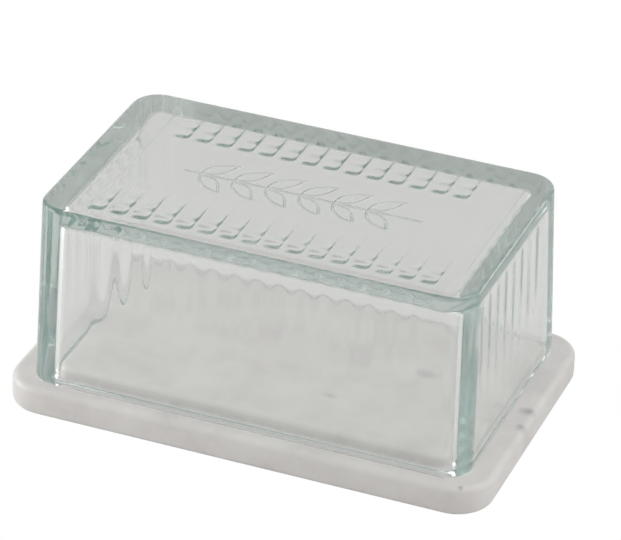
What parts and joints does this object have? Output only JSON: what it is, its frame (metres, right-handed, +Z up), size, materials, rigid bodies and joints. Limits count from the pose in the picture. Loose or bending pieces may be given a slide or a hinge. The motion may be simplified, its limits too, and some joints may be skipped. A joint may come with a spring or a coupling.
{
  "type": "butter dish",
  "caption": "Rectangular butter dish: a ribbed pressed-glass cover that lifts off a stepped marble base with anti-slip pads.",
  "frame": {"origin": "on the surface the dish stands on, under the middle of the base", "axes": "+X along the long side, -Y towards the front, +Z up"},
  "size_m": [0.17, 0.105, 0.0767],
  "materials": {
    "marble": "honed white marble with faint grey marks",
    "pressed_glass": "thick clear pressed glass with a faint green tint",
    "pad": "matte translucent grey"
  },
  "bodies": {
    "base": {"marble_base": "marble", "pad_front_left": "pad", "pad_front_right": "pad", "pad_back_left": "pad", "pad_back_right": "pad"},
    "cover": {"glass_cover": "pressed_glass"}
  },
  "joints": [
    {"name": "cover_lift", "type": "slide", "parent": "base", "child": "cover", "axis": [0, 0, 1], "range_m": [0, 0.1]}
  ]
}
